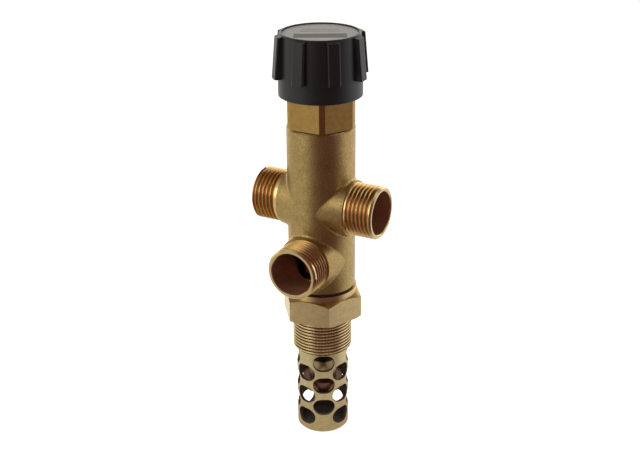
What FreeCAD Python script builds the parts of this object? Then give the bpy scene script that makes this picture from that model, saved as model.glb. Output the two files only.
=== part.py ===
import FreeCAD, Part
import os
import re
import Sketcher

# Thermal discharge valve. Z runs up the spindle, z = 0 is the underside of the fitting's hexagon,
# the upper ports point along X and the lower port points along -Y. Millimetres and degrees.
SIZES = {
    # guard tube and its oval windows
    "tube_radius": 11.66,
    "tube_bore": 10.2,
    "tube_length": 40.6,
    "tube_spigot_radius": 11.0,
    "tube_spigot_length": 3.5,
    "tube_turn": 30.6,
    "tube_edge": 0.9,
    "tube_floor": 1.2,
    "window_width": 9.9,
    "window_height": 8.0,
    "window_pitch": 11.3,
    "window_first": 13.5,
    "window_stagger": 5.9,
    "window_columns": 4,
    # sensor fitting
    "boiler_thread_radius": 13.22,
    "boiler_thread_length": 16.9,
    "boiler_thread_chamfer": 1.1,
    "nut_across": 32.0,
    "nut_height": 11.2,
    "nut_chamfer_radius": 15.7,
    "nut_chamfer_rise": 1.6,
    "nut_foot_radius": 17.2,
    "nut_foot_rise": 0.5,
    "nut_turn": 7.4,
    "collar_radius": 15.3,
    "collar_height": 2.5,
    "fitting_bore": 9.6,
    "fitting_spigot_radius": 11.5,
    "fitting_spigot_length": 5.7,
    "seat_bore": 7.0,
    "seat_lip_width": 1.0,
    "seat_lip_height": 0.8,
    "seat_plate": 4.0,
    "ring_thickness": 0.6,
    "ring_radius": 13.9,
    # wax capsule and what holds it
    "holder_thickness": 1.5,
    "holder_hole_radius": 1.5,
    "holder_hole_count": 6,
    "capsule_radius": 6.2,
    "capsule_length": 26.6,
    "capsule_flange_radius": 9.0,
    "capsule_flange_drop": 19.4,
    "capsule_flange": 5.0,
    "capsule_tail_radius": 4.2,
    "capsule_round": 1.5,
    "capsule_collar_height": 2.0,
    "capsule_neck_radius": 4.0,
    "capsule_neck_length": 6.4,
    "capsule_nut_across": 11.0,
    "capsule_nut_height": 3.5,
    "piston_radius": 2.0,
    "piston_length": 12.0,
    "piston_reach": 8.5,
    # body and ports
    "body_radius": 14.66,
    "body_height": 73.3,
    "body_edge": 0.6,
    "lower_chamber_depth": 24.4,
    "partition": 4.1,
    "upper_bore": 12.0,
    "neck_radius": 12.1,
    "neck_root_radius": 14.6,
    "neck_reach": 15.9,
    "neck_fillet": 1.4,
    "port_thread_radius": 11.455,
    "port_chamfer": 0.8,
    "port_bore": 9.4,
    "port_mouth": 0.3,
    "upper_port_reach": 28.75,
    "lower_port_reach": 27.7,
    "upper_port_height": 38.1,
    "lower_port_height": 14.8,
    # cold-water seat and guide
    "sleeve_rise": 13.7,
    "sleeve_wall": 2.1,
    "sleeve_web": 2.5,
    "sleeve_window_width": 12.0,
    "sleeve_window_margin": 1.0,
    "cold_seat_bore": 5.5,
    "cold_lip_width": 0.9,
    "cold_lip_height": 0.7,
    "bush_radius": 6.0,
    "bush_flange_radius": 7.5,
    "bush_flange": 1.5,
    "o_ring_section": 1.8,
    # bonnet
    "gasket_thickness": 0.5,
    "gasket_radius": 14.1,
    "bonnet_across": 28.2,
    "bonnet_corner_radius": 15.6,
    "bonnet_hex_height": 16.0,
    "bonnet_neck_radius": 12.6,
    "bonnet_neck_height": 4.5,
    "spring_chamber_radius": 9.5,
    "spring_chamber_top": 3.9,
    "ramp_half_length": 4.8,
    "ramp_rise": 3.0,
    "ramp_inner": 8.6,
    "ramp_width": 2.8,
    "ramp_count": 3,
    # spindle and discs
    "spindle_radius": 3.0,
    "spindle_collar_radius": 4.5,
    "spindle_collar_height": 1.5,
    "groove_depth": 0.6,
    "clip_thickness": 1.2,
    "clip_radius": 4.8,
    "disc_rim": 0.8,
    "disc_height": 3.85,
    "seal_thickness": 2.2,
    "seal_inset": 0.85,
    "seal_overlap": 0.8,
    "disc_nut_across": 8.0,
    "disc_nut_height": 3.4,
    "spring_spigot_radius": 6.4,
    "spring_spigot_height": 2.4,
    "spring_mean_radius": 7.5,
    "spring_wire_radius": 0.8,
    "spring_turns": 5,
    # test cap
    "cap_drop": 3.1,
    "cap_radius": 17.69,
    "cap_top_radius": 16.9,
    "cap_height": 26.2,
    "cap_band": 7.0,
    "cap_wall": 1.5,
    "cap_roof": 2.4,
    "cap_edge": 0.4,
    "rib_count": 8,
    "rib_width": 5.3,
    "rib_foot": 8.0,
    "rib_foot_radius": 20.3,
    "rib_top_radius": 18.8,
    "rib_head": 0.5,
    "rib_shoulder": 1.0,
    "rib_round": 0.7,
    "hub_radius": 5.6,
    "hub_foot": 11.5,
    "cam_foot": 11.0,
    "lug_width": 2.4,
    "lug_drop": 2.5,
    "lug_lead": 30.0,
    "screw_head_radius": 4.6,
    "screw_head_height": 2.3,
    "screw_shank_radius": 1.9,
    "screw_length": 10.0,
    "label_radius": 15.8,
    "label_thickness": 0.35,
    "label_recess": 0.85,
    # clearances
    "fit_gap": 0.05,
    "rest_gap": 0.1,
    "clearance": 0.3,
}

MATHS = {"sqrt", "cos", "sin", "deg", "min", "max"}

doc = FreeCAD.newDocument("discharge_valve")
sheet = doc.addObject("Spreadsheet::Sheet", "dims")
for row, (size, number) in enumerate(SIZES.items(), start=1):
    sheet.set(f"A{row}", size)
    sheet.set(f"B{row}", str(number))
    sheet.setAlias(f"B{row}", size)
doc.recompute()


def cells(text):
    """An expression in size names, written with the sheet's name before each."""
    return re.sub(r"[a-z]\w*", lambda m: m[0] if m[0] in MATHS else "dims." + m[0], text)


def value(text):
    return float(sheet.evalExpression(cells(text)))


def total(*terms):
    return " + ".join(f"({term})" for term in terms)


def bind(thing, path, text):
    thing.setExpression(path, cells(text))


# Heights of the seams between the pieces, from the hexagon's underside up.
COLLAR_TOP = "nut_height + collar_height"
BODY_BASE = total(COLLAR_TOP, "ring_thickness")
PARTITION_TOP = total(BODY_BASE, "lower_chamber_depth + partition")
BODY_TOP = total(BODY_BASE, "body_height")
BONNET_BASE = total(BODY_TOP, "gasket_thickness")
UPPER_PORT = total(BODY_BASE, "upper_port_height")
SLEEVE_TOP = total(UPPER_PORT, "sleeve_rise")
BONNET_SPIGOT = total(BONNET_BASE, f"-({SLEEVE_TOP})")
SPRING_TOP = total(BONNET_BASE, "spring_chamber_top")
CAP_BASE = total(BONNET_BASE, "bonnet_hex_height - cap_drop")
HOLDER_BASE = "tube_spigot_length - boiler_thread_length"
HOLDER_TOP = total(HOLDER_BASE, "holder_thickness")
PISTON_TOP = total(HOLDER_BASE, "capsule_neck_length + piston_reach")
SPINDLE_FOOT = total(PISTON_TOP, "rest_gap")
DISCHARGE_SEAL = total(COLLAR_TOP, "ring_thickness + fitting_spigot_length + seat_lip_height + fit_gap")
COLD_SEAL = total(UPPER_PORT, "sleeve_web / 2 + cold_lip_height + fit_gap")
COLD_DISC_TOP = total(COLD_SEAL, "seal_thickness - seal_inset + disc_height")
RECESS_FLOOR = "cap_height - label_recess - screw_head_height - 2 * clearance"
SPINDLE_TOP = total(CAP_BASE, RECESS_FLOOR, "fit_gap")
SLEEVE_OUTER = "upper_bore - fit_gap"
DISCHARGE_SEAL_RADIUS = "seat_bore + seat_lip_width + seal_overlap"
COLD_SEAL_RADIUS = "cold_seat_bore + cold_lip_width + seal_overlap"
SHAFT_HOLE = "spindle_radius + fit_gap"


def new_body(label, height, turn=None):
    body = doc.addObject("PartDesign::Body", label)
    body.Label = label
    bind(body, "Placement.Base.z", height)
    if turn is not None:
        bind(body, "Placement.Rotation.Angle", turn)
    return body


def origin(body, role):
    return next(item for item in body.Origin.OriginFeatures if item.Role == role)


def sketch_on(body, name, plane):
    sketch = body.newObject("Sketcher::SketchObject", name)
    sketch.AttachmentSupport = [(origin(body, plane), "")]
    sketch.MapMode = "FlatFace"
    return sketch


def pin_point(sketch, line, end, across, along):
    """Ties one end of a line to the sketch's origin by two sizes."""
    for kind, axis, text in (("DistanceX", -2, across), ("DistanceY", -1, along)):
        number = value(text)
        if abs(number) < 1e-9:
            sketch.addConstraint(Sketcher.Constraint("PointOnObject", line, end, axis))
            continue
        index = sketch.addConstraint(Sketcher.Constraint(kind, -1, 1, line, end, number))
        bind(sketch, f"Constraints[{index}]", text)


def draw_outline(sketch, points):
    """A closed outline of straight lines through points given as pairs of expressions."""
    corners = [FreeCAD.Vector(value(across), value(along), 0) for across, along in points]
    first = sketch.GeometryCount
    count = len(points)
    for i in range(count):
        sketch.addGeometry(Part.LineSegment(corners[i], corners[(i + 1) % count]))
    for i in range(count):
        joint = Sketcher.Constraint("Coincident", first + i, 2, first + (i + 1) % count, 1)
        sketch.addConstraint(joint)
    for i, (across, along) in enumerate(points):
        pin_point(sketch, first + i, 1, across, along)


def draw_circle(sketch, radius, across="0", along="0"):
    centre = FreeCAD.Vector(value(across), value(along), 0)
    ring = sketch.addGeometry(Part.Circle(centre, FreeCAD.Vector(0, 0, 1), value(radius)))
    pin_point(sketch, ring, 3, across, along)
    index = sketch.addConstraint(Sketcher.Constraint("Radius", ring, value(radius)))
    bind(sketch, f"Constraints[{index}]", radius)


def draw_slot(sketch, width, height, along):
    """A flat-sided oval, wider than tall, centred on the sketch's upright axis."""
    half = value(height) / 2
    reach = value(width) / 2 - half
    level = value(along)
    left = FreeCAD.Vector(-reach, level, 0)
    right = FreeCAD.Vector(reach, level, 0)
    normal = FreeCAD.Vector(0, 0, 1)
    quarter = 1.5707963267948966
    a = sketch.addGeometry(Part.ArcOfCircle(Part.Circle(left, normal, half), quarter, 3 * quarter))
    b = sketch.addGeometry(Part.ArcOfCircle(Part.Circle(right, normal, half), -quarter, quarter))
    lift = FreeCAD.Vector(0, half, 0)
    top = sketch.addGeometry(Part.LineSegment(right + lift, left + lift))
    bottom = sketch.addGeometry(Part.LineSegment(left - lift, right - lift))
    for one, one_end, two, two_end in ((b, 2, top, 1), (top, 2, a, 1), (a, 2, bottom, 1), (bottom, 2, b, 1)):
        sketch.addConstraint(Sketcher.Constraint("Tangent", one, one_end, two, two_end))
    pin_point(sketch, a, 3, f"({height} - {width}) / 2", along)
    pin_point(sketch, b, 3, f"({width} - {height}) / 2", along)
    index = sketch.addConstraint(Sketcher.Constraint("Radius", a, half))
    bind(sketch, f"Constraints[{index}]", f"{height} / 2")


def turn_feature(body, kind, name, points, plane="XZ_Plane", axis="V_Axis", lift=None):
    """A revolved solid or cut about the sketch's own axis."""
    sketch = sketch_on(body, name + "_outline", plane)
    if lift is not None:
        bind(sketch, "AttachmentOffset.Base.y", lift)
    draw_outline(sketch, points)
    feature = body.newObject("PartDesign::" + kind, name)
    feature.Profile = sketch
    feature.ReferenceAxis = (sketch, [axis])
    feature.Angle = 360
    doc.recompute()
    return feature


def turned(label, height, points, turn=None):
    body = new_body(label, height, turn)
    turn_feature(body, "Revolution", label + "_turned", points)
    return body


def must_cut(body, before):
    assert body.Shape.Volume < before - 1e-3, body.Label + ": a cut removed nothing"


def must_add(body, before):
    assert body.Shape.Volume > before + 1e-3, body.Label + ": a pad added nothing"


def mill_hexagon(body, across):
    """Cuts away what stands outside a hexagon with two flats square to Y."""
    before = body.Shape.Volume
    sketch = sketch_on(body, body.Label + "_hexagon", "XY_Plane")
    corner = f"{across} / sqrt(3)"
    points = [(f"{corner} * cos({60 * i} deg)", f"{corner} * sin({60 * i} deg)") for i in range(6)]
    draw_outline(sketch, points)
    draw_circle(sketch, f"2 * {across}")
    cut = body.newObject("PartDesign::Pocket", body.Label + "_flats")
    cut.Profile = sketch
    cut.Type = 1
    cut.Midplane = True
    doc.recompute()
    must_cut(body, before)


def repeat_round(body, feature, count):
    pattern = body.newObject("PartDesign::PolarPattern", feature.Name + "_pattern")
    pattern.Originals = [feature]
    pattern.Axis = (origin(body, "Z_Axis"), [""])
    pattern.Angle = 360
    bind(pattern, "Occurrences", count)
    body.Tip = pattern
    doc.recompute()
    return pattern


def edge_names(shape, wanted):
    return [f"Edge{i}" for i, edge in enumerate(shape.Edges, start=1) if wanted(edge)]


def round_edges(body, kind, size_path, size, wanted):
    feature = body.Tip
    names = edge_names(feature.Shape, wanted)
    assert names, body.Label + ": no edge to round"
    dressed = body.newObject("PartDesign::" + kind, f"{body.Label}_{kind.lower()}")
    dressed.Base = (feature, names)
    bind(dressed, size_path, size)
    body.Tip = dressed
    doc.recompute()


def ring(label, height, inner, outer, thickness):
    return turned(label, height, [(inner, "0"), (outer, "0"), (outer, thickness), (inner, thickness)])


def hex_ring(label, height, bore, across, thickness):
    corner = f"{across} / sqrt(3)"
    body = ring(label, height, bore, corner, thickness)
    mill_hexagon(body, across)
    return body


def seal_disc(name, seal_height, seal_radius, spigot=None):
    """A rubber washer let into the underside of a brass disc."""
    ring(name + "_seal", seal_height, SHAFT_HOLE, f"{seal_radius} - fit_gap", "seal_thickness")
    rim = f"{seal_radius} + disc_rim"
    points = [(SHAFT_HOLE, "seal_inset"), (seal_radius, "seal_inset"), (seal_radius, "0"), (rim, "0")]
    points += [(rim, "disc_height - seal_inset / 2"), (f"{rim} - seal_inset / 2", "disc_height")]
    if spigot:
        top = "disc_height + spring_spigot_height"
        points += [(spigot, "disc_height"), (spigot, top), (SHAFT_HOLE, top)]
    else:
        points += [(SHAFT_HOLE, "disc_height")]
    turned(name + "_disc", total(seal_height, "seal_thickness - seal_inset"), points)


def make_guard_tube():
    shoulder = "tube_spigot_radius"
    points = [
        ("0", "0"),
        ("tube_radius - tube_edge", "0"),
        ("tube_radius", "tube_edge"),
        ("tube_radius", "tube_length"),
        (shoulder, "tube_length"),
        (shoulder, "tube_length + tube_spigot_length"),
        ("tube_bore", "tube_length + tube_spigot_length"),
        ("tube_bore", "tube_floor"),
        ("0", "tube_floor"),
    ]
    body = turned("guard_tube", "-boiler_thread_length - tube_length", points, "tube_turn")
    for stagger, drop in ((0, "0"), (1, "window_stagger")):
        before = body.Shape.Volume
        sketch = sketch_on(body, f"guard_windows_{stagger}", "XZ_Plane")
        if stagger:
            sketch.AttachmentOffset = FreeCAD.Placement(
                FreeCAD.Vector(), FreeCAD.Rotation(FreeCAD.Vector(0, 1, 0), 45))
            bind(sketch, "AttachmentOffset.Rotation.Angle", "180 / window_columns")
        for rank in range(3):
            draw_slot(sketch, "window_width", "window_height", f"window_first + {rank} * window_pitch - {drop}")
        cut = body.newObject("PartDesign::Pocket", f"guard_window_column_{stagger}")
        cut.Profile = sketch
        cut.Type = 0
        cut.Reversed = True
        bind(cut, "Length", "2 * tube_radius")
        doc.recompute()
        must_cut(body, before)
        repeat_round(body, cut, "window_columns")


def make_sensor_fitting():
    corner = "nut_across / sqrt(3)"
    thread = "boiler_thread_radius"
    seat_top = total(COLLAR_TOP, "ring_thickness + fitting_spigot_length")
    lip_top = total(seat_top, "seat_lip_height")
    tube_seat = "tube_spigot_radius + fit_gap"
    points = [
        (tube_seat, "-boiler_thread_length"),
        (f"{thread} - boiler_thread_chamfer", "-boiler_thread_length"),
        (thread, "boiler_thread_chamfer - boiler_thread_length"),
        (thread, "0"),
        ("nut_foot_radius", "0"),
        (corner, "nut_foot_rise"),
        (corner, "nut_height - nut_chamfer_rise"),
        ("nut_chamfer_radius", "nut_height"),
        ("collar_radius", "nut_height"),
        ("collar_radius", COLLAR_TOP),
        ("fitting_spigot_radius", COLLAR_TOP),
        ("fitting_spigot_radius", seat_top),
        ("seat_bore + seat_lip_width", seat_top),
        ("seat_bore + seat_lip_width", lip_top),
        ("seat_bore", lip_top),
        ("seat_bore", total(seat_top, "-seat_plate")),
        ("fitting_bore", total(seat_top, "-seat_plate")),
        ("fitting_bore", HOLDER_TOP),
        (tube_seat, HOLDER_TOP),
    ]
    body = turned("sensor_fitting", "0", points, "nut_turn")
    mill_hexagon(body, "nut_across")


def make_capsule():
    rim = "tube_spigot_radius"
    neck_hole = "capsule_neck_radius + fit_gap"
    holder = ring("capsule_holder", HOLDER_BASE, neck_hole, rim, "holder_thickness")
    before = holder.Shape.Volume
    sketch = sketch_on(holder, "flow_hole", "XY_Plane")
    draw_circle(sketch, "holder_hole_radius", "(fitting_bore + capsule_nut_across / sqrt(3)) / 2")
    cut = holder.newObject("PartDesign::Pocket", "flow_hole_cut")
    cut.Profile = sketch
    cut.Type = 1
    cut.Midplane = True
    doc.recompute()
    must_cut(holder, before)
    repeat_round(holder, cut, "holder_hole_count")

    collar = "capsule_radius - 2 * clearance"
    bore = "piston_radius + fit_gap"
    bore_floor = "capsule_neck_length + piston_reach - piston_length - rest_gap"
    points = [
        ("0", "-capsule_length"),
        ("capsule_tail_radius - capsule_round", "-capsule_length"),
        ("capsule_tail_radius", "capsule_round - capsule_length"),
        ("capsule_tail_radius", "-capsule_flange_drop - capsule_flange"),
        ("capsule_flange_radius", "-capsule_flange_drop - capsule_flange"),
        ("capsule_flange_radius", "-capsule_flange_drop"),
        ("capsule_radius", "-capsule_flange_drop"),
        ("capsule_radius", "-capsule_collar_height"),
        (collar, "-capsule_collar_height"),
        (collar, "0"),
        ("capsule_neck_radius", "0"),
        ("capsule_neck_radius", "capsule_neck_length"),
        (bore, "capsule_neck_length"),
        (bore, bore_floor),
        ("0", bore_floor),
    ]
    turned("wax_capsule", HOLDER_BASE, points)
    hex_ring("capsule_nut", HOLDER_TOP, neck_hole, "capsule_nut_across", "capsule_nut_height")
    tip = "piston_length - clearance"
    points = [("0", "0"), ("piston_radius", "0"), ("piston_radius", tip)]
    points += [("piston_radius - clearance", "piston_length"), ("0", "piston_length")]
    turned("piston", total(PISTON_TOP, "-piston_length"), points)


def port_points(reach):
    """Half of a port lying along its axis: tapered neck, thread and chamfered end."""
    thread = "port_thread_radius"
    return [
        (reach, "0"),
        (reach, f"{thread} - port_chamfer"),
        (f"{reach} - port_chamfer", thread),
        ("neck_reach", thread),
        ("neck_reach", "neck_radius"),
        ("0", "neck_root_radius"),
        ("0", "0"),
    ]


def mirrored(points):
    return [(f"-({across})", along) for across, along in points]


def bore_points(reach):
    """Half of a port's bore with its chamfered mouth."""
    past = f"{reach} + port_mouth"
    return [
        (past, "0"),
        (past, "port_bore + 2 * port_mouth"),
        (f"{reach} - port_mouth", "port_bore"),
        ("0", "port_bore"),
        ("0", "0"),
    ]


def is_neck_seam(edge):
    """The curve where a tapered neck runs into the barrel."""
    return "BSpline" in edge.Curve.TypeId


def make_body():
    edge = "body_edge"
    points = [
        ("0", "0"),
        (f"body_radius - {edge}", "0"),
        ("body_radius", edge),
        ("body_radius", f"body_height - {edge}"),
        (f"body_radius - {edge}", "body_height"),
        ("0", "body_height"),
    ]
    body = turned("valve_body", BODY_BASE, points)
    right = port_points("upper_port_reach")
    lower = port_points("lower_port_reach")
    for name, points, plane, lift in (
        ("right_port", right, "XZ_Plane", "upper_port_height"),
        ("left_port", mirrored(right), "XZ_Plane", "upper_port_height"),
        ("lower_port", mirrored(lower), "YZ_Plane", "lower_port_height"),
    ):
        before = body.Shape.Volume
        turn_feature(body, "Revolution", name, points, plane, "H_Axis", lift)
        must_add(body, before)
    round_edges(body, "Fillet", "Radius", "neck_fillet", is_neck_seam)
    chamber = "fitting_spigot_radius + fit_gap"
    upper_floor = "lower_chamber_depth + partition"
    bush = "bush_radius + fit_gap"
    points = [
        ("0", "0"),
        (chamber, "0"),
        (chamber, "lower_chamber_depth"),
        (bush, "lower_chamber_depth"),
        (bush, upper_floor),
        ("upper_bore", upper_floor),
        ("upper_bore", "body_height"),
        ("0", "body_height"),
    ]
    before = body.Shape.Volume
    turn_feature(body, "Groove", "chambers", points)
    must_cut(body, before)
    across = bore_points("upper_port_reach")
    down = bore_points("lower_port_reach")
    for name, points, plane, lift in (
        ("right_bore", across, "XZ_Plane", "upper_port_height"),
        ("left_bore", mirrored(across), "XZ_Plane", "upper_port_height"),
        ("lower_bore", mirrored(down), "YZ_Plane", "lower_port_height"),
    ):
        before = body.Shape.Volume
        turn_feature(body, "Groove", name, points, plane, "H_Axis", lift)
        must_cut(body, before)


def make_sleeve():
    """Seat of the cold-water valve: the left window opens below its web and the right one above."""
    inner = f"{SLEEVE_OUTER} - sleeve_wall"
    height = total(SLEEVE_TOP, f"-({PARTITION_TOP})")
    middle = total(UPPER_PORT, f"-({PARTITION_TOP})")
    web_foot = f"{middle} - sleeve_web / 2"
    web_top = f"{middle} + sleeve_web / 2"
    lip_top = f"{web_top} + cold_lip_height"
    lip = "cold_seat_bore + cold_lip_width"
    points = [
        (inner, "0"),
        (SLEEVE_OUTER, "0"),
        (SLEEVE_OUTER, height),
        (inner, height),
        (inner, web_top),
        (lip, web_top),
        (lip, lip_top),
        ("cold_seat_bore", lip_top),
        ("cold_seat_bore", web_foot),
        (inner, web_foot),
    ]
    body = turned("seat_sleeve", PARTITION_TOP, points)
    margin = "sleeve_window_margin"
    half = "sleeve_window_width / 2"
    left = (margin, f"{web_foot} - {margin} / 2")
    right = (f"{web_top} + {margin} / 2", f"{middle} + port_bore - {margin} / 2")
    for name, (foot, head), side in (("left_window", left, False), ("right_window", right, True)):
        before = body.Shape.Volume
        sketch = sketch_on(body, name + "_outline", "YZ_Plane")
        draw_outline(sketch, [(f"-{half}", foot), (half, foot), (half, head), (f"-{half}", head)])
        cut = body.newObject("PartDesign::Pocket", name)
        cut.Profile = sketch
        cut.Type = 0
        cut.Reversed = side
        bind(cut, "Length", "2 * upper_bore")
        doc.recompute()
        must_cut(body, before)


def make_guide():
    groove = "spindle_radius + o_ring_section"
    middle = "partition / 2"
    half = "o_ring_section / 2 + fit_gap"
    points = [
        (SHAFT_HOLE, "0"),
        ("bush_radius", "0"),
        ("bush_radius", "partition"),
        ("bush_flange_radius", "partition"),
        ("bush_flange_radius", "partition + bush_flange"),
        (SHAFT_HOLE, "partition + bush_flange"),
        (SHAFT_HOLE, f"{middle} + {half}"),
        (groove, f"{middle} + {half}"),
        (groove, f"{middle} - ({half})"),
        (SHAFT_HOLE, f"{middle} - ({half})"),
    ]
    base = total(BODY_BASE, "lower_chamber_depth")
    turned("guide_bush", base, points)
    o_ring("guide_o_ring", total(base, middle))


def o_ring(label, height):
    """A ring of round section, flattened a little where it meets the spindle and the groove."""
    section = "o_ring_section / 2"
    flat = f"{section} - fit_gap"
    half = f"{section} / 2"
    centre = f"spindle_radius + {section}"
    points = [
        (f"{centre} - ({flat})", f"-{half}"),
        (f"{centre} - {half}", f"-{section}"),
        (f"{centre} + {half}", f"-{section}"),
        (f"{centre} + {flat}", f"-{half}"),
        (f"{centre} + {flat}", half),
        (f"{centre} + {half}", section),
        (f"{centre} - {half}", section),
        (f"{centre} - ({flat})", half),
    ]
    turned(label, height, points)


def make_bonnet():
    outer = SLEEVE_OUTER
    corner = "bonnet_corner_radius"
    hex_top = "bonnet_hex_height"
    neck_top = "bonnet_hex_height + bonnet_neck_height"
    groove = "spindle_radius + o_ring_section"
    middle = "(spring_chamber_top + bonnet_hex_height) / 2"
    half = "o_ring_section / 2 + fit_gap"
    points = [
        ("spring_chamber_radius", f"-({BONNET_SPIGOT})"),
        (outer, f"-({BONNET_SPIGOT})"),
        (outer, "0"),
        (corner, "0"),
        (corner, f"{hex_top} - body_edge"),
        (f"{corner} - body_edge", hex_top),
        ("bonnet_neck_radius", hex_top),
        ("bonnet_neck_radius", neck_top),
        (SHAFT_HOLE, neck_top),
        (SHAFT_HOLE, f"{middle} + {half}"),
        (groove, f"{middle} + {half}"),
        (groove, f"{middle} - ({half})"),
        (SHAFT_HOLE, f"{middle} - ({half})"),
        (SHAFT_HOLE, "spring_chamber_top"),
        ("spring_chamber_radius", "spring_chamber_top"),
    ]
    body = turned("bonnet", BONNET_BASE, points)
    mill_hexagon(body, "bonnet_across")
    before = body.Shape.Volume
    sketch = sketch_on(body, "ramp_outline", "XZ_Plane")
    bind(sketch, "AttachmentOffset.Base.z", "ramp_inner")
    run = "ramp_half_length"
    foot = f"{neck_top} - clearance"
    draw_outline(sketch, [(f"-{run}", foot), (run, foot), (run, f"{neck_top} + ramp_rise"), (f"-{run}", neck_top)])
    ramp = body.newObject("PartDesign::Pad", "ramp")
    ramp.Profile = sketch
    bind(ramp, "Length", "ramp_width")
    doc.recompute()
    must_add(body, before)
    repeat_round(body, ramp, "ramp_count")
    o_ring("bonnet_o_ring", total(BONNET_BASE, middle))
    ring("bonnet_gasket", BODY_TOP, "upper_bore", "gasket_radius", "gasket_thickness")


def make_spindle():
    groove = "spindle_radius - groove_depth"
    start = SPINDLE_FOOT
    disc_top = total(DISCHARGE_SEAL, "seal_thickness - seal_inset + disc_height", f"-({start})")
    cold_clip_top = total(COLD_SEAL, f"-({start})")
    cap_clip_top = total(CAP_BASE, "hub_foot - fit_gap", f"-({start})")
    top = total(SPINDLE_TOP, f"-({start})")
    tapped = "screw_shank_radius + fit_gap"
    depth = "screw_length + clearance"
    bevel = "clearance"
    points = [
        ("0", "0"),
        (f"spindle_radius - {bevel}", "0"),
        ("spindle_radius", bevel),
        ("spindle_radius", disc_top),
        ("spindle_collar_radius", disc_top),
        ("spindle_collar_radius", f"{disc_top} + spindle_collar_height"),
        ("spindle_radius", f"{disc_top} + spindle_collar_height"),
    ]
    for clip_top in (cold_clip_top, cap_clip_top):
        points += [
            ("spindle_radius", f"{clip_top} - clip_thickness"),
            (groove, f"{clip_top} - clip_thickness"),
            (groove, clip_top),
            ("spindle_radius", clip_top),
        ]
    points += [
        ("spindle_radius", top),
        (tapped, top),
        (tapped, f"{top} - ({depth})"),
        ("0", f"{top} - ({depth})"),
    ]
    turned("spindle", start, points)
    for label, height in (("cold_clip", COLD_SEAL), ("cap_clip", total(CAP_BASE, "hub_foot - fit_gap"))):
        ring(label, total(height, "-clip_thickness"), f"{groove} + fit_gap", "clip_radius", "clip_thickness")
    seal_disc("discharge", DISCHARGE_SEAL, DISCHARGE_SEAL_RADIUS)
    seal_disc("cold", COLD_SEAL, COLD_SEAL_RADIUS, "spring_spigot_radius")
    nut_foot = total(DISCHARGE_SEAL, "-disc_nut_height")
    hex_ring("discharge_nut", nut_foot, SHAFT_HOLE, "disc_nut_across", "disc_nut_height")


def make_spring():
    """A coil of tilted half turns that run smoothly into each other."""
    wire = value("spring_wire_radius")
    mean = value("spring_mean_radius")
    foot = value(COLD_DISC_TOP) + wire
    half_turns = 2 * int(value("spring_turns"))
    rise = (value(SPRING_TOP) - wire - foot) / half_turns
    arcs = []
    for i in range(half_turns):
        side = 1 if i % 2 == 0 else -1
        start = FreeCAD.Vector(side * mean, 0, i * rise)
        middle = FreeCAD.Vector(0, 0, (i + 0.5) * rise)
        axis = (start - middle).cross(FreeCAD.Vector(0, side, 0))
        section = Part.Circle(start, FreeCAD.Vector(0, 1, 0), wire)
        arcs.append(Part.Face(Part.Wire(section.toShape())).revolve(middle, axis, 180))
    feature = doc.addObject("Part::Feature", "return_spring")
    feature.Label = "return_spring"
    feature.Shape = arcs[0].multiFuse(arcs[1:]).Solids[0]
    feature.Placement = FreeCAD.Placement(FreeCAD.Vector(0, 0, foot), FreeCAD.Rotation())


def is_rib_edge(edge, grip):
    """A long edge of a grip rib, which climbs the outside of the cap."""
    ends = [vertex.Point for vertex in edge.Vertexes]
    if len(ends) != 2 or abs(ends[0].z - ends[1].z) < value("cap_wall"):
        return False
    return all((end.x ** 2 + end.y ** 2) ** 0.5 > grip for end in ends)


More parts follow.
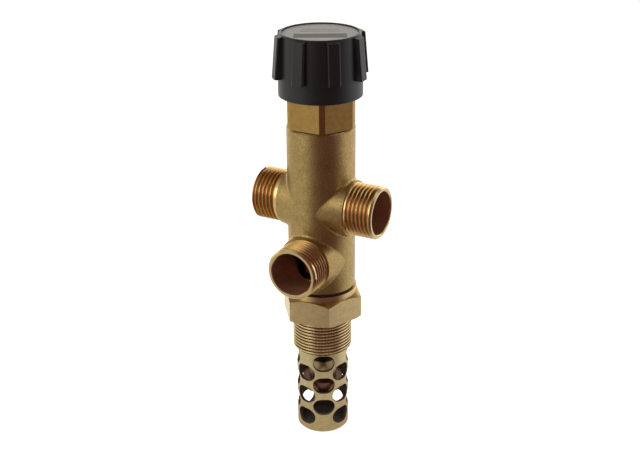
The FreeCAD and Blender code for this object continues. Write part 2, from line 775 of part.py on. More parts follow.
def make_cap():
    recess = "screw_head_radius + clearance"
    top = "cap_height"
    seat = "cap_height - label_recess"
    roof = f"{seat} - cap_roof"
    wall_top = "cap_top_radius - cap_wall"
    wall_foot = "cap_radius - cap_wall"
    cam_outer = "ramp_inner + ramp_width"
    points = [
        (wall_foot, "0"),
        ("cap_radius", "0"),
        ("cap_radius", "cap_band"),
        ("cap_top_radius", f"{top} - cap_edge"),
        ("cap_top_radius - cap_edge", top),
        ("label_radius + fit_gap", top),
        ("label_radius + fit_gap", seat),
        (recess, seat),
        (recess, RECESS_FLOOR),
        (SHAFT_HOLE, RECESS_FLOOR),
        (SHAFT_HOLE, "hub_foot"),
        ("hub_radius", "hub_foot"),
        ("hub_radius", roof),
        ("ramp_inner", roof),
        ("ramp_inner", "cam_foot"),
        (cam_outer, "cam_foot"),
        (cam_outer, roof),
        (wall_top, roof),
        (wall_foot, "cap_band"),
    ]
    body = turned("test_cap", CAP_BASE, points)
    before = body.Shape.Volume
    sketch = sketch_on(body, "rib_outline", "YZ_Plane")
    head = "cap_height - rib_head"
    slope = [("rib_foot_radius", "rib_foot"), ("rib_top_radius", "cap_height - rib_shoulder")]
    slope += [("cap_top_radius", head)]
    root = [("cap_top_radius - cap_wall / 2", head), ("cap_radius - cap_wall / 2", "rib_foot")]
    draw_outline(sketch, slope + root)
    rib = body.newObject("PartDesign::Pad", "rib")
    rib.Profile = sketch
    rib.Midplane = True
    bind(rib, "Length", "rib_width")
    doc.recompute()
    must_add(body, before)
    repeat_round(body, rib, "rib_count")
    grip = value("rib_top_radius") - value("clearance")
    round_edges(body, "Fillet", "Radius", "rib_round", lambda edge: is_rib_edge(edge, grip))
    before = body.Shape.Volume
    sketch = sketch_on(body, "lug_outline", "XZ_Plane")
    turn = FreeCAD.Rotation(FreeCAD.Vector(0, -1, 0), 1)
    sketch.AttachmentOffset = FreeCAD.Placement(FreeCAD.Vector(), turn)
    bind(sketch, "AttachmentOffset.Rotation.Angle", "lug_lead")
    bind(sketch, "AttachmentOffset.Base.x", "-ramp_inner * sin(lug_lead * 1 deg)")
    bind(sketch, "AttachmentOffset.Base.z", "ramp_inner * cos(lug_lead * 1 deg)")
    half = "lug_width / 2"
    foot = "cam_foot - lug_drop"
    head = "cam_foot + clearance"
    draw_outline(sketch, [(f"-{half}", foot), (half, foot), (half, head), (f"-{half}", head)])
    lug = body.newObject("PartDesign::Pad", "lug")
    lug.Profile = sketch
    bind(lug, "Length", "ramp_width")
    doc.recompute()
    must_add(body, before)
    repeat_round(body, lug, "ramp_count")

    head_top = "screw_head_height"
    points = [
        ("0", "-screw_length"),
        ("screw_shank_radius", "-screw_length"),
        ("screw_shank_radius", "0"),
        ("screw_head_radius", "0"),
        ("screw_head_radius", f"{head_top} - clearance"),
        ("screw_head_radius - clearance", head_top),
        ("0", head_top),
    ]
    turned("cap_screw", SPINDLE_TOP, points)
    ring_height = "label_thickness - clearance / 2"
    points = [
        ("0", "0"),
        ("label_radius", "0"),
        ("label_radius", ring_height),
        ("label_radius - clearance / 2", "label_thickness"),
        ("0", "label_thickness"),
    ]
    turned("label_disc", total(CAP_BASE, "cap_height - label_recess"), points)


make_guard_tube()
make_sensor_fitting()
ring("sealing_ring", COLLAR_TOP, "fitting_spigot_radius + fit_gap", "ring_radius", "ring_thickness")
make_capsule()
make_body()
make_sleeve()
make_guide()
make_bonnet()
make_spindle()
make_spring()
make_cap()
doc.recompute()

nodes = [item for item in doc.Objects if item.TypeId in ("PartDesign::Body", "Part::Feature")]
for item in doc.Objects:
    assert "Invalid" not in item.State and "Error" not in item.State, f"{item.Label}: {item.State}"
for node in nodes:
    assert not node.Shape.isNull() and node.Shape.isValid(), node.Label
    assert len(node.Shape.Solids) == 1, f"{node.Label}: {len(node.Shape.Solids)} solids"

os.makedirs("parts", exist_ok=True)
for node in nodes:
    node.Shape.exportStep(f"parts/{node.Label}.step")
    box = node.Shape.BoundBox
    print(f"{node.Label:16s} z {box.ZMin:8.2f} {box.ZMax:8.2f}  volume {node.Shape.Volume:9.1f}")
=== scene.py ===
import bpy
import math
from mathutils import Matrix, Vector


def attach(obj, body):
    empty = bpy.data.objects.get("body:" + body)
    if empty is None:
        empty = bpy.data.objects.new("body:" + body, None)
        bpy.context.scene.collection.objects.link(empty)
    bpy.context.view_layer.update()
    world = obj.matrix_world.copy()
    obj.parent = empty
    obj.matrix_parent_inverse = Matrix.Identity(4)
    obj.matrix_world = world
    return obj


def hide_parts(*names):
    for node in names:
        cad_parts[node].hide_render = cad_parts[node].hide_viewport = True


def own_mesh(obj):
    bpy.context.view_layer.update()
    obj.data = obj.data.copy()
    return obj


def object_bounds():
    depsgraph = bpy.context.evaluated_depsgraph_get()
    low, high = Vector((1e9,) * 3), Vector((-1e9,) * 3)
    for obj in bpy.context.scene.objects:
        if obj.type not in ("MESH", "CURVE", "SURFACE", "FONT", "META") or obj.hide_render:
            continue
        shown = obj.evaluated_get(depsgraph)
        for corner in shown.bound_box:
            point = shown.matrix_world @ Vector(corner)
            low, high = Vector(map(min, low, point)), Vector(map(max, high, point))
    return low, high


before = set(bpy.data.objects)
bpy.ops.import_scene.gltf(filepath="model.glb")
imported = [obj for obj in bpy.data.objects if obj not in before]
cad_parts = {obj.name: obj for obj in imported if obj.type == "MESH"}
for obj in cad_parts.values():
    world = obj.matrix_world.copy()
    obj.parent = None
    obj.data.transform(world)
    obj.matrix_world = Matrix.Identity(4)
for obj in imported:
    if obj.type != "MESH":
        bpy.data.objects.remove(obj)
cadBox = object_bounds()
mm = 0.001
mergeDistance = 0.0005 * mm
faceSkin = 0.02 * mm  # a face this near to a limit counts as lying on it
print("frame loaded:", len(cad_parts), "nodes")


# ways of working that every piece shares
def pickOnly(piece):
    if bpy.context.object and bpy.context.object.mode != "OBJECT":
        bpy.ops.object.mode_set(mode="OBJECT")
    bpy.ops.object.select_all(action="DESELECT")
    piece.select_set(True)
    bpy.context.view_layer.objects.active = piece


def selectWhere(piece, test):
    # vertices that pass the test are left selected in edit mode
    bpy.ops.object.mode_set(mode="EDIT")
    bpy.ops.mesh.select_mode(type="VERT")
    bpy.ops.mesh.select_all(action="DESELECT")
    bpy.ops.object.mode_set(mode="OBJECT")
    for vertex in piece.data.vertices:
        vertex.select = test(vertex.co)
    bpy.ops.object.mode_set(mode="EDIT")


def copyNode(node, name):
    # a merged copy of a solid's mesh, at the same place
    piece = bpy.data.objects.new(name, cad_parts[node].data.copy())
    bpy.context.scene.collection.objects.link(piece)
    pickOnly(piece)
    bpy.ops.mesh.customdata_custom_splitnormals_clear()
    bpy.ops.object.mode_set(mode="EDIT")
    bpy.ops.mesh.select_all(action="SELECT")
    bpy.ops.mesh.remove_doubles(threshold=mergeDistance)
    bpy.ops.object.mode_set(mode="OBJECT")
    return piece


def applyModifier(piece, kind, **settings):
    pickOnly(piece)
    modifier = piece.modifiers.new(kind.lower(), kind)
    for setting, value in settings.items():
        setattr(modifier, setting, value)
    bpy.ops.object.modifier_apply(modifier=modifier.name)


def cutAway(piece, cutter):
    applyModifier(piece, "BOOLEAN", operation="DIFFERENCE", object=cutter, solver="EXACT")
    bpy.data.objects.remove(cutter)


def smoothByAngle(piece, degrees=32):
    pickOnly(piece)
    bpy.ops.object.shade_smooth_by_angle(angle=math.radians(degrees))


# pipe threads: a V-shaped bar is wound round Z, laid along the port and cut out of the solid
threadForm = {
    "rootFlat": 0.187,  # as a share of the pitch, as each thread's depth and crestRound are
    "flankAngle": math.radians(27.5),  # from the radius
    "clear": 0.25 * mm,  # the bar stands this far proud of the crest
    "stepsPerTurn": 60,
}


def windGroove(name, thread, end):
    bpy.ops.object.select_all(action="DESELECT")
    pitch = thread["pitch"]
    width = threadForm["rootFlat"] * pitch
    bpy.ops.mesh.primitive_plane_add(size=width, rotation=(math.pi / 2, 0, 0))
    bar = bpy.context.object
    bar.name = name
    bpy.ops.object.transform_apply(rotation=True)
    selectWhere(bar, lambda co: co.x > 0)
    bpy.ops.mesh.delete(type="VERT")
    bpy.ops.mesh.select_all(action="SELECT")
    root = thread["radius"] - thread["depth"] * pitch
    bpy.ops.transform.translate(value=(root + width / 2, 0, end - thread["turns"] * pitch))
    # the root edge is drawn out along the flanks, along the rounded crest and straight up past it
    crest = thread["crestRound"] * pitch
    flank = thread["depth"] * pitch - crest
    for rise, angle in (
        (flank, threadForm["flankAngle"]), (crest, thread["crestAngle"]), (threadForm["clear"], 0),
    ):
        wider = width + 2 * rise * math.tan(angle)
        bpy.ops.mesh.extrude_region_move(TRANSFORM_OT_translate={"value": (rise, 0, 0)})
        bpy.ops.transform.resize(value=(1, 1, wider / width))
        width = wider
    bpy.ops.mesh.select_all(action="SELECT")
    bpy.ops.mesh.dissolve_faces()
    bpy.ops.mesh.delete(type="ONLY_FACE")
    bpy.ops.object.mode_set(mode="OBJECT")
    steps = threadForm["stepsPerTurn"]
    applyModifier(bar, "SCREW", axis="Z", screw_offset=pitch, iterations=thread["turns"],
                  steps=steps, render_steps=steps, use_normal_calculate=True)
    bpy.ops.object.mode_set(mode="EDIT")
    bpy.ops.mesh.select_all(action="SELECT")
    bpy.ops.mesh.fill_holes(sides=0)
    bpy.ops.mesh.select_all(action="SELECT")
    bpy.ops.mesh.normals_make_consistent(inside=False)
    bpy.ops.object.mode_set(mode="OBJECT")
    return bar


def isBelowCrest(across, thread):
    return across < thread["radius"] - thread["crestRound"] * thread["pitch"]


def layAlong(bar, turn, height):
    bar.rotation_euler = turn
    bar.location = (0, 0, height)
    pickOnly(bar)
    bpy.ops.object.transform_apply(location=True, rotation=True)


# the casting: barrel and tapered necks left blasted, threads, bores and ends machined
casting = {
    "upperPortHeight": 52.4 * mm,
    "lowerPortHeight": 29.1 * mm,
    "boreRadius": 9.4 * mm,
    "neckReach": 15.9 * mm,
    "upperReach": 28.75 * mm,
    "lowerReach": 27.7 * mm,
    "barrelRadius": 14.66 * mm,
    "barrelSkin": 1.5 * mm,  # deeper than this the barrel is bored
    "rimBand": 0.7 * mm,  # the turned end of each port
    "level": 0.99,  # a face is level when its normal rises more than this
    "rightEnd": 1.5 * mm,  # how far inside each mouth the groove's last turn stops
    "leftEnd": 0.9 * mm,
    "lowerEnd": 0.85 * mm,
}
portThread = {
    "radius": 11.455 * mm,
    "pitch": 1.814 * mm,
    "turns": 6,
    "depth": 0.617,
    "crestRound": 0.09,  # the crest falls away over this depth
    "crestAngle": math.radians(50),
}


def castingFace(face):
    # 0 cast skin, 1 turned ends, 2 thread crests with a painted highlight, 3 thread grooves with painted
    # shade, 4 bored inside
    x, y, z = face.center
    upper = math.hypot(y, z - casting["upperPortHeight"])
    lower = math.hypot(x, z - casting["lowerPortHeight"])
    for along, across, reach in (
        (abs(x), upper, casting["upperReach"]), (-y, lower, casting["lowerReach"]),
    ):
        if across < casting["boreRadius"] + faceSkin and along > 0:
            return 4
        if along > reach - casting["rimBand"]:
            return 1
        if along > casting["neckReach"] - faceSkin and across < portThread["radius"] + faceSkin:
            return 3 if isBelowCrest(across, portThread) else 2
    if math.hypot(x, y) < casting["barrelRadius"] - casting["barrelSkin"]:
        return 4
    return 1 if abs(face.normal.z) > casting["level"] else 0


def buildCasting():
    piece = copyNode("valve_body", "valveBody")
    ports = {
        "right": ((0, math.pi / 2, 0), casting["upperPortHeight"], casting["upperReach"]),
        "left": ((0, -math.pi / 2, 0), casting["upperPortHeight"], casting["upperReach"]),
        "lower": ((math.pi / 2, 0, 0), casting["lowerPortHeight"], casting["lowerReach"]),
    }
    for side, (turn, height, reach) in ports.items():
        bar = windGroove(side + "Groove", portThread, reach - casting[side + "End"])
        layAlong(bar, turn, height)
        cutAway(piece, bar)
    smoothByAngle(piece)
    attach(piece, "valve")
    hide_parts("valve_body")
    return piece


valveBody = buildCasting()
print("casting with three threaded ports:", len(valveBody.data.polygons), "faces")

# sensor fitting: hexagon, collar and the boiler thread
fittingThread = {
    "radius": 13.22 * mm,
    "pitch": 1.5 * mm,  # as the turns are counted in the photograph
    "turns": 11,
    "depth": 0.45,
    "crestRound": 0.05,
    "crestAngle": math.radians(62),
    "runOut": 0.7 * mm,
}


def buildFitting():
    piece = copyNode("sensor_fitting", "sensorFitting")
    bar = windGroove("boilerGroove", fittingThread, -fittingThread["runOut"])
    cutAway(piece, bar)
    smoothByAngle(piece)
    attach(piece, "valve")
    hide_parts("sensor_fitting")
    return piece


def fittingFace(face):
    # 0 turned hexagon and bore, 1 thread crests with a painted highlight, 2 thread grooves with painted
    # shade
    across = math.hypot(face.center.x, face.center.y)
    root = fittingThread["radius"] - fittingThread["depth"] * fittingThread["pitch"] - faceSkin
    if face.center.z > 0 or across < root:
        return 0
    return 2 if isBelowCrest(across, fittingThread) else 1


sensorFitting = buildFitting()
print("sensor fitting with its thread:", len(sensorFitting.data.polygons), "faces")

# guard tube: bright outside, with painted shade inside
tubeWall = {
    "radius": 11.66 * mm,
    "bore": 10.2 * mm,
    "floor": 1.2 * mm,
    "skin": 0.05 * mm,  # allows for the flat facets of the round wall
    "upright": 0.3,  # a face is upright when its normal rises less than this
    "level": 0.9,  # and level when it rises more than this
    "inward": 0.8,  # share of the normal that has to point at the axis
}


def buildTube():
    piece = copyNode("guard_tube", "guardTube")
    smoothByAngle(piece)
    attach(piece, "valve")
    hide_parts("guard_tube")
    return piece


def tubeFace(face):
    # 0 bright outside, 1 painted shade on the inner wall, floor and window edges
    across = math.hypot(face.center.x, face.center.y)
    outward = face.normal.x * face.center.x + face.normal.y * face.center.y
    skin = tubeWall["skin"]
    floor = cadBox[0].z + tubeWall["floor"] + skin
    onWall = across < tubeWall["bore"] + skin and abs(face.normal.z) < tubeWall["upright"]
    facesAxis = outward < -tubeWall["inward"] * across
    onFloor = face.normal.z > tubeWall["level"] and face.center.z < floor
    inWall = tubeWall["bore"] + skin < across < tubeWall["radius"] - skin
    onWindow = inWall and face.center.z > floor
    return 1 if (onWall and facesAxis) or onFloor or onWindow else 0


guardTube = buildTube()
print("guard tube:", len(guardTube.data.polygons), "faces")


def buildSpring():
    piece = copyNode("return_spring", "returnSpring")
    smoothByAngle(piece)
    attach(piece, "valve")
    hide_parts("return_spring")
    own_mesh(piece)
    return piece


returnSpring = buildSpring()
print("return spring:", len(returnSpring.data.polygons), "faces")


# materials
def hexColour(text):
    parts = [int(text[i:i + 2], 16) / 255 for i in (1, 3, 5)]
    linear = [c / 12.92 if c <= 0.04045 else ((c + 0.055) / 1.055) ** 2.4 for c in parts]
    return (*linear, 1)


def addNode(tree, kind, inputs=None, **settings):
    node = tree.nodes.new(kind)
    for setting, value in settings.items():
        setattr(node, setting, value)
    for socket, value in (inputs or {}).items():
        if isinstance(value, bpy.types.NodeSocket):
            tree.links.new(value, node.inputs[socket])
        else:
            node.inputs[socket].default_value = value
    return node


def newMaterial(name, **sockets):
    material = bpy.data.materials.new(name)
    material.use_nodes = True
    shader = material.node_tree.nodes["Principled BSDF"]
    for socket, value in sockets.items():
        shader.inputs[socket.replace("_", " ")].default_value = value
    return material, material.node_tree, shader


def grainBump(tree, shader, place, grain, strength, height):
    noise = addNode(tree, "ShaderNodeTexNoise", {"Vector": place, "Scale": 1 / grain, "Detail": 3})
    bump = addNode(tree, "ShaderNodeBump", {
        "Strength": strength, "Distance": height, "Height": noise.outputs["Fac"],
    })
    tree.links.new(bump.outputs["Normal"], shader.inputs["Normal"])
    return noise.outputs["Fac"]


# cast brass, shot blasted: a dull, finely pitted yellow that still mirrors light and dark broadly
blastedBrass = {
    "light": "#d0b378",
    "dark": "#a3844a",
    "roughLow": 0.32,
    "roughHigh": 0.46,
    "grain": 0.75 * mm,  # real pits are about 0.3 mm, drawn coarser so that they show
    "grainRange": (0.3, 0.7),  # of the pits' noise, over which the roughness changes
    "pitHeight": 0.09 * mm,
    "pitStrength": 0.55,
    "stain": 7 * mm,
    "stainShare": 0.4,  # of the weight that the pits have in the colour
    "shadeRange": (0.4, 1.0),  # of pits and stain together, over which the colour changes
}


def shotBlastedBrass():
    material, tree, shader = newMaterial("shotBlastedBrass", Metallic=1.0)
    place = addNode(tree, "ShaderNodeTexCoord").outputs["Object"]
    pits = grainBump(
        tree, shader, place, blastedBrass["grain"], blastedBrass["pitStrength"], blastedBrass["pitHeight"])
    stain = addNode(tree, "ShaderNodeTexNoise", {
        "Vector": place, "Scale": 1 / blastedBrass["stain"], "Detail": 2,
    })
    shade = addNode(tree, "ShaderNodeMath", {
        0: stain.outputs["Fac"], 1: blastedBrass["stainShare"], 2: pits,
    }, operation="MULTIPLY_ADD")
    low, high = blastedBrass["shadeRange"]
    spread = addNode(tree, "ShaderNodeMapRange", {
        "Value": shade.outputs[0], "From Min": low, "From Max": high,
    })
    colour = addNode(tree, "ShaderNodeMix", {
        0: spread.outputs[0], 6: hexColour(blastedBrass["dark"]), 7: hexColour(blastedBrass["light"]),
    }, data_type="RGBA")
    low, high = blastedBrass["grainRange"]
    rough = addNode(tree, "ShaderNodeMapRange", {
        "Value": pits, "From Min": low, "From Max": high,
        "To Min": blastedBrass["roughHigh"], "To Max": blastedBrass["roughLow"],
    })
    tree.links.new(colour.outputs[2], shader.inputs["Base Color"])
    tree.links.new(rough.outputs[0], shader.inputs["Roughness"])
    return material


# turned free-cutting brass: brighter and smoother, with faint tool marks
turnedFinish = {
    "markSpacing": 0.7 * mm,  # the feed of a lathe tool is finer, drawn coarser so that it shows
    "markHeight": 0.012 * mm,
    "markStrength": 0.35,
    "handling": 2.2 * mm,  # patches of finger grease and early tarnish
    "handlingRange": (0.35, 0.65),  # of their noise, over which the colour changes
    "handlingShade": 0.86,
}
turnedKinds = {  # colour, roughness and metallic
    "turnedBrass": ("#cdb07a", 0.23, 1.0),  # small turned parts inside
    "barTurnedBrass": ("#e2c58c", 0.23, 1.0),  # bar stock, pale and bright: fitting and rims
    "milledBrass": ("#bd9756", 0.23, 1.0),  # darker flats that mirror the room: bonnet
    "drawnTubeBrass": ("#e2cd9a", 0.3, 1.0),  # satin and pale: guard tube
    "crestHighlightBrass": ("#f0d08c", 0.23, 1.0),  # painted highlight: the port threads' crests lighter than their grooves
    "grooveShadeBrass": ("#c8985c", 0.3, 1.0),  # painted shade: the port threads' grooves darker and redder than their crests
    "boilerCrestHighlight": ("#f6e0ac", 0.15, 1.0),  # painted highlight on the boiler thread's crests, which are cut clean and mirror most
    "boilerGrooveShade": ("#b08c56", 0.15, 1.0),  # painted shade: its grooves, browner than the crests
    "boredBrass": ("#bc8060", 0.42, 0.75),  # a dull reddish oxide in the bores
    "tubeShadeBrass": ("#3d322b", 0.55, 0.2),  # painted shade inside the guard tube: dark, dull and barely metallic
}


def turnedBrass(name):
    colour, roughness, metal = turnedKinds[name]
    material, tree, shader = newMaterial(name, Metallic=metal, Roughness=roughness)
    place = addNode(tree, "ShaderNodeTexCoord").outputs["Object"]
    grainBump(
        tree, shader, place, turnedFinish["markSpacing"],
        turnedFinish["markStrength"], turnedFinish["markHeight"])
    patches = addNode(tree, "ShaderNodeTexNoise", {
        "Vector": place, "Scale": 1 / turnedFinish["handling"], "Detail": 4,
    })
    low, high = turnedFinish["handlingRange"]
    spread = addNode(tree, "ShaderNodeMapRange", {
        "Value": patches.outputs["Fac"], "From Min": low, "From Max": high,
    })
    clean = hexColour(colour)
    dulled = (*[c * turnedFinish["handlingShade"] for c in clean[:3]], 1)
    shade = addNode(tree, "ShaderNodeMix", {0: spread.outputs[0], 6: dulled, 7: clean}, data_type="RGBA")
    tree.links.new(shade.outputs[2], shader.inputs["Base Color"])
    return material


# moulded glass-filled nylon: near-black, satin, with a fine spark-eroded grain
nylonGrain = {
    "colour": "#131110",
    "roughness": 0.4,
    "ior": 1.53,
    "grain": 0.6 * mm,  # coarser than the real grain so that it breaks up the highlights
    "height": 0.03 * mm,
    "strength": 0.3,
}


def mouldedNylon():
    material, tree, shader = newMaterial(
        "mouldedNylon", Base_Color=hexColour(nylonGrain["colour"]),
        Roughness=nylonGrain["roughness"], IOR=nylonGrain["ior"])
    place = addNode(tree, "ShaderNodeTexCoord").outputs["Object"]
    grainBump(tree, shader, place, nylonGrain["grain"], nylonGrain["strength"], nylonGrain["height"])
    return material


# silver-grey polyester film: smooth and nearly matt, printed with a plain panel and two rules
labelFilm = {
    "colour": "#868783",
    "ink": "#302f2c",
    "roughness": 0.46,
    "metal": 0.2,  # flakes in the film
    "gloss": 0.26,  # a matt laminate, about half the mirror of plain film
    "turn": math.radians(28.2),  # square to the photograph's camera
    "print": [  # centre and half size, across and along
        ((0, -5.6 * mm), (10.8 * mm, 3.6 * mm)),
        ((0, 2.2 * mm), (8.6 * mm, 0.4 * mm)),
        ((0, 5.6 * mm), (7.6 * mm, 0.4 * mm)),
    ],
}


def silverFilm():
    material, tree, shader = newMaterial(
        "silverFilm", Roughness=labelFilm["roughness"], Metallic=labelFilm["metal"],
        Specular_IOR_Level=labelFilm["gloss"])
    place = addNode(tree, "ShaderNodeTexCoord").outputs["Object"]
    turned = addNode(tree, "ShaderNodeMapping", {"Vector": place, "Rotation": (0, 0, -labelFilm["turn"])})
    axes = addNode(tree, "ShaderNodeSeparateXYZ", {0: turned.outputs[0]})
    inked = None
    for centre, half in labelFilm["print"]:
        across, along = [
            addNode(tree, "ShaderNodeMath", {
                0: axes.outputs[i], 1: centre[i], 2: half[i],
            }, operation="COMPARE").outputs[0]
            for i in range(2)
        ]
        panel = addNode(tree, "ShaderNodeMath", {0: across, 1: along}, operation="MULTIPLY").outputs[0]
        if inked is not None:
            panel = addNode(tree, "ShaderNodeMath", {0: inked, 1: panel}, operation="MAXIMUM").outputs[0]
        inked = panel
    colour = addNode(tree, "ShaderNodeMix", {
        0: inked, 6: hexColour(labelFilm["colour"]), 7: hexColour(labelFilm["ink"]),
    }, data_type="RGBA")
    tree.links.new(colour.outputs[2], shader.inputs["Base Color"])
    return material


# black EPDM rubber: matt and dense
rubberSeal = {
    "colour": "#2e2420",
    "roughness": 0.7,
    "ior": 1.5,
}


def mouldedRubber():
    return newMaterial(
        "sealRubber", Base_Color=hexColour(rubberSeal["colour"]),
        Roughness=rubberSeal["roughness"], IOR=rubberSeal["ior"])[0]


# drawn copper shell of the wax capsule: bright above, darker lower down, and a band of painted shade at
# its top
capsuleShell = {
    "roughness": 0.42,
    "bright": "#c0a67e",
    "dulled": "#8a6552",
    "brightAbove": -27 * mm,
    "dulledBelow": -30.5 * mm,
    # painted shade: a dark band at the top of the shell, under the holder
    "shadeBand": "#33271f",
    "shadeBandAbove": -23.1 * mm,
    "shadeBandEnd": -23.9 * mm,
}


def drawnCopper():
    material, tree, shader = newMaterial("drawnCopper", Roughness=capsuleShell["roughness"], Metallic=1.0)
    place = addNode(tree, "ShaderNodeTexCoord").outputs["Object"]
    height = addNode(tree, "ShaderNodeSeparateXYZ", {0: place}).outputs["Z"]
    shade = hexColour(capsuleShell["dulled"])
    # darker lower shell, then the band of painted shade at the top
    for colour, start, full in (
        ("bright", "dulledBelow", "brightAbove"), ("shadeBand", "shadeBandEnd", "shadeBandAbove"),
    ):
        share = addNode(tree, "ShaderNodeMapRange", {
            "Value": height, "From Min": capsuleShell[start], "From Max": capsuleShell[full],
        })
        shade = addNode(tree, "ShaderNodeMix", {
            0: share.outputs[0], 6: shade, 7: hexColour(capsuleShell[colour]),
        }, data_type="RGBA").outputs[2]
    tree.links.new(shade, shader.inputs["Base Color"])
    return material


# stainless spring wire: drawn bright, a cool grey mirror
drawnWire = {
    "colour": "#b9b9b4",
    "roughness": 0.28,
}


def springWire():
    return newMaterial(
        "springWire", Base_Color=hexColour(drawnWire["colour"]),
        Roughness=drawnWire["roughness"], Metallic=1.0)[0]


def dress(piece, *materials):
    piece.data.materials.clear()
    for material in materials:
        piece.data.materials.append(material)


def dressFaces(piece, choose, *materials):
    dress(piece, *materials)
    for face in piece.data.polygons:
        face.material_index = choose(face)


brass = {name: turnedBrass(name) for name in turnedKinds}
wire = springWire()
nodeFinish = [
    (brass["turnedBrass"], ["capsule_holder", "capsule_nut", "seat_sleeve", "guide_bush",
                            "spindle", "discharge_disc", "cold_disc", "discharge_nut"]),
    (brass["milledBrass"], ["bonnet"]),
    (drawnCopper(), ["wax_capsule"]),
    (mouldedNylon(), ["test_cap"]),
    (silverFilm(), ["label_disc"]),
    (mouldedRubber(), ["sealing_ring", "guide_o_ring", "bonnet_o_ring", "bonnet_gasket",
                       "discharge_seal", "cold_seal"]),
    (wire, ["cold_clip", "cap_clip", "cap_screw", "piston"]),
]
for finish, members in nodeFinish:
    for member in members:
        dress(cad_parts[member], finish)
dress(returnSpring, wire)
dressFaces(valveBody, castingFace, shotBlastedBrass(), brass["barTurnedBrass"],
           brass["crestHighlightBrass"], brass["grooveShadeBrass"], brass["boredBrass"])
dressFaces(sensorFitting, fittingFace, brass["barTurnedBrass"],
           brass["boilerCrestHighlight"], brass["boilerGrooveShade"])
dressFaces(guardTube, tubeFace, brass["drawnTubeBrass"], brass["tubeShadeBrass"])
print("materials on every piece")

# camera, from the photograph's perspective
photo = {
    "width": 640,
    "focalPixels": 1127.04,
    "sensorWidth": 36,
    "nearClip": 0.01,
    "distance": 453.1 * mm,
    "eyeHeight": 233.16 * mm,
    "azimuth": math.radians(28.195),
    "yaw": 0.00158,
    "downTilt": 0.40046,
    "roll": -0.00825,
}


def placeCamera():
    lens = bpy.data.cameras.new("photoCamera")
    lens.sensor_fit = "HORIZONTAL"
    lens.sensor_width = photo["sensorWidth"]
    lens.lens = lens.sensor_width * photo["focalPixels"] / photo["width"]
    lens.clip_start = photo["nearClip"]
    camera = bpy.data.objects.new("photoCamera", lens)
    bpy.context.scene.collection.objects.link(camera)
    turn = photo["azimuth"] + photo["yaw"]
    right = Vector((math.cos(turn), math.sin(turn), 0))
    ahead = Vector((-math.sin(turn), math.cos(turn), 0))
    tilt = photo["downTilt"]
    look = ahead * math.cos(tilt) - Vector((0, 0, math.sin(tilt)))
    up = ahead * math.sin(tilt) + Vector((0, 0, math.cos(tilt)))
    c = math.cos(photo["roll"])
    s = math.sin(photo["roll"])
    across = right * c + up * s
    above = up * c - right * s
    camera.matrix_world = Matrix((
        (across.x, above.x, -look.x, photo["distance"] * math.sin(photo["azimuth"])),
        (across.y, above.y, -look.y, -photo["distance"] * math.cos(photo["azimuth"])),
        (across.z, above.z, -look.z, photo["eyeHeight"]),
        (0, 0, 0, 1),
    ))
    bpy.context.scene.camera = camera


def levelAim(degrees):
    # level direction from the part, this far to the right of the one towards the camera
    turn = photo["azimuth"] + math.radians(degrees)
    return Vector((math.sin(turn), -math.cos(turn), 0))


placeCamera()

# studio: a white sweep behind and beside the part, and an unlit room in front of it
studio = {
    "floorSize": 6.0,
    "floorColour": "#ececec",
    "floorLift": 0.72,
    "nearFloor": (0.05, 0.105),  # metres from the axis over which the lit floor gives way to the room
    "footShadowReach": (0.015, 0.055),  # and over which the painted shadow at the part's foot gives way to the lit floor
    # colour of the painted shadow that metal mirrors on the floor round the part's foot
    "footShadowColour": "#bfb5aa",
    "roomTurn": 17,  # degrees to the right of the camera
    "roomRange": (math.cos(math.radians(76)), math.cos(math.radians(24))),  # from its edge to its core
    "roomColour": "#695056",
    "sweepColour": "#d4d4d1",
    "sweepSides": [  # degrees from the camera, cosine from which it begins, colour
        (90, 0.2, "#eff1f6"),
        (180, 0.4, "#fffdf3"),
    ],
    "sideFull": 0.9,  # cosine at which each side has its full colour
    "behind": (0, 0.4),  # cosines over which the space behind the part begins
    "ceiling": (0.75, 0.93),  # sines of the elevations over which the sweep gives way to a dark ceiling
    "backWall": (0.33, 0.6),  # and of those at which it ends behind the part
    "ceilingColour": "#7c6961",
    "glow": 1.8,  # how much brighter the sweep is at its foot behind the part
    "glowRise": (0.3, 0.46),  # sines of the elevations over which it fades
}


def roomShade(tree, direction):
    # colour of the studio in a level direction: bright sweep, warm dark room
    level = addNode(tree, "ShaderNodeVectorMath", {0: direction, 1: (1, 1, 0)}, operation="MULTIPLY")
    unit = addNode(tree, "ShaderNodeVectorMath", {0: level.outputs[0]}, operation="NORMALIZE")
    shade = hexColour(studio["sweepColour"])
    for degrees, start, full, colour in [
        *[(degrees, start, studio["sideFull"], colour) for degrees, start, colour in studio["sweepSides"]],
        (studio["roomTurn"], *studio["roomRange"], studio["roomColour"]),
    ]:
        facing = addNode(tree, "ShaderNodeVectorMath", {
            0: unit.outputs[0], 1: levelAim(degrees),
        }, operation="DOT_PRODUCT")
        share = addNode(tree, "ShaderNodeMapRange", {
            "Value": facing.outputs["Value"], "From Min": start, "From Max": full,
        }, interpolation_type="SMOOTHSTEP")
        shade = addNode(tree, "ShaderNodeMix", {
            0: share.outputs[0], 6: shade, 7: hexColour(colour),
        }, data_type="RGBA").outputs[2]
    return shade


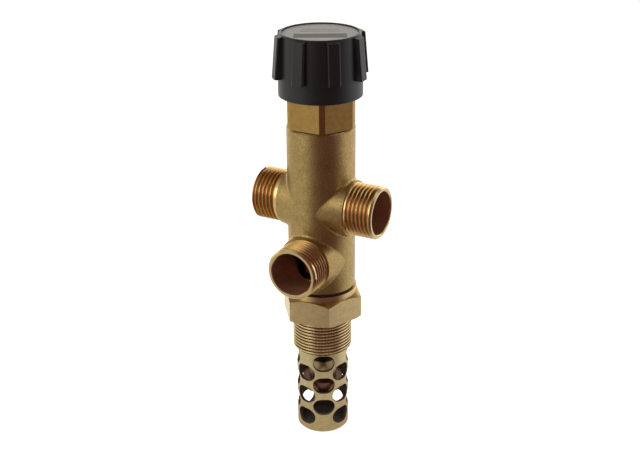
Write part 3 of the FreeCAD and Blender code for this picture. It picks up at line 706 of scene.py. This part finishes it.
def lightWorld():
    world = bpy.data.worlds.new("studio")
    bpy.context.scene.world = world
    world.use_nodes = True
    tree = world.node_tree
    path = addNode(tree, "ShaderNodeLightPath")
    place = addNode(tree, "ShaderNodeTexCoord").outputs["Generated"]
    rise = addNode(tree, "ShaderNodeSeparateXYZ", {0: place}).outputs["Z"]
    depth = addNode(tree, "ShaderNodeVectorMath", {0: place, 1: levelAim(180)}, operation="DOT_PRODUCT")
    overhead, above, behind = [
        addNode(tree, "ShaderNodeMapRange", {
            "Value": value, "From Min": studio[part][0], "From Max": studio[part][1],
        }, interpolation_type="SMOOTHSTEP").outputs[0]
        for part, value in (("ceiling", rise), ("backWall", rise), ("behind", depth.outputs["Value"]))
    ]
    aboveWall = addNode(tree, "ShaderNodeMath", {0: above, 1: behind}, operation="MULTIPLY")
    unlit = addNode(tree, "ShaderNodeMath", {0: overhead, 1: aboveWall.outputs[0]}, operation="MAXIMUM")
    fadeFull, fadeStart = studio["glowRise"]
    fade = addNode(tree, "ShaderNodeMapRange", {
        "Value": rise, "From Min": fadeStart, "From Max": fadeFull, "To Max": studio["glow"] - 1,
    }, interpolation_type="SMOOTHSTEP")
    glow = addNode(tree, "ShaderNodeMath", {
        0: fade.outputs[0], 1: behind, 2: 1,
    }, operation="MULTIPLY_ADD")
    sweep = addNode(tree, "ShaderNodeVectorMath", {
        0: roomShade(tree, place), "Scale": glow.outputs[0],
    }, operation="SCALE")
    around = addNode(tree, "ShaderNodeMix", {
        0: unlit.outputs[0], 6: sweep.outputs[0], 7: hexColour(studio["ceilingColour"]),
    }, data_type="RGBA")
    shade = addNode(tree, "ShaderNodeMix", {
        0: path.outputs["Is Camera Ray"], 6: around.outputs[2], 7: (1, 1, 1, 1),
    }, data_type="RGBA")
    tree.links.new(shade.outputs[2], tree.nodes["Background"].inputs["Color"])


def paleSweep():
    # white paper to the eye, while metal mirrors a floor that is lit only near the part, with a painted
    # shadow round its foot
    material = bpy.data.materials.new("paleSweep")
    material.use_nodes = True
    tree = material.node_tree
    tree.nodes.clear()
    path = addNode(tree, "ShaderNodeLightPath")
    place = addNode(tree, "ShaderNodeTexCoord").outputs["Object"]
    paper = addNode(tree, "ShaderNodeBsdfDiffuse", {"Color": hexColour(studio["floorColour"])})
    lift = addNode(tree, "ShaderNodeMath", {
        0: path.outputs["Is Camera Ray"], 1: studio["floorLift"],
    }, operation="MULTIPLY")
    haze = addNode(tree, "ShaderNodeEmission", {"Strength": lift.outputs[0]})
    seen = addNode(tree, "ShaderNodeAddShader", {0: paper.outputs[0], 1: haze.outputs[0]})
    away = addNode(tree, "ShaderNodeVectorMath", {0: place}, operation="LENGTH")
    shade = hexColour(studio["footShadowColour"])
    for reach, further in (
        ("footShadowReach", hexColour(studio["sweepColour"])), ("nearFloor", roomShade(tree, place)),
    ):
        start, full = studio[reach]
        share = addNode(tree, "ShaderNodeMapRange", {
            "Value": away.outputs["Value"], "From Min": start, "From Max": full,
        }, interpolation_type="SMOOTHSTEP")
        shade = addNode(tree, "ShaderNodeMix", {
            0: share.outputs[0], 6: shade, 7: further,
        }, data_type="RGBA").outputs[2]
    mirrored = addNode(tree, "ShaderNodeEmission", {"Color": shade})
    shiny = addNode(tree, "ShaderNodeMath", {
        0: path.outputs["Is Glossy Ray"], 1: path.outputs["Is Transmission Ray"],
    }, operation="MAXIMUM")
    both = addNode(tree, "ShaderNodeMixShader", {
        0: shiny.outputs[0], 1: seen.outputs[0], 2: mirrored.outputs[0],
    })
    addNode(tree, "ShaderNodeOutputMaterial", {"Surface": both.outputs[0]})
    return material


def layFloor():
    bpy.ops.object.select_all(action="DESELECT")
    bpy.ops.mesh.primitive_plane_add(size=studio["floorSize"], location=(0, 0, cadBox[0].z))
    floor = bpy.context.object
    floor.name = "floor"
    dress(floor, paleSweep())


# metal mirrors the sweep, the room and the soft box, and not the other lamps
lampDistance = 0.7
lamps = {  # degrees from the camera and above level, metres across, watts
    "keyLamp": {"azimuth": -62, "elevation": 42, "size": 0.45, "power": 2.6, "mirrored": False},
    "fillLamp": {"azimuth": 75, "elevation": 30, "size": 0.4, "power": 1.4, "mirrored": False},
    "frontLamp": {"azimuth": 4, "elevation": 24, "size": 0.2, "power": 0.5, "mirrored": False},
    "softBox": {"azimuth": -51, "elevation": 27, "size": 0.45, "power": 0.66, "mirrored": True},
}


def hangLamp(name):
    settings = lamps[name]
    lamp = bpy.data.lights.new(name, "AREA")
    lamp.shape = "DISK"
    lamp.size = settings["size"]
    lamp.energy = settings["power"]
    holder = bpy.data.objects.new(name, lamp)
    bpy.context.scene.collection.objects.link(holder)
    rise = math.radians(settings["elevation"])
    aim = levelAim(settings["azimuth"]) * math.cos(rise) + Vector((0, 0, math.sin(rise)))
    middle = (cadBox[0] + cadBox[1]) / 2
    turn = aim.to_track_quat("Z", "Y").to_matrix().to_4x4()
    holder.matrix_world = Matrix.Translation(middle + aim * lampDistance) @ turn
    holder.visible_glossy = settings["mirrored"]


lightWorld()
layFloor()
for lampName in lamps:
    hangLamp(lampName)
bpy.context.scene.view_settings.view_transform = "Standard"
print("camera, studio and lamps set")
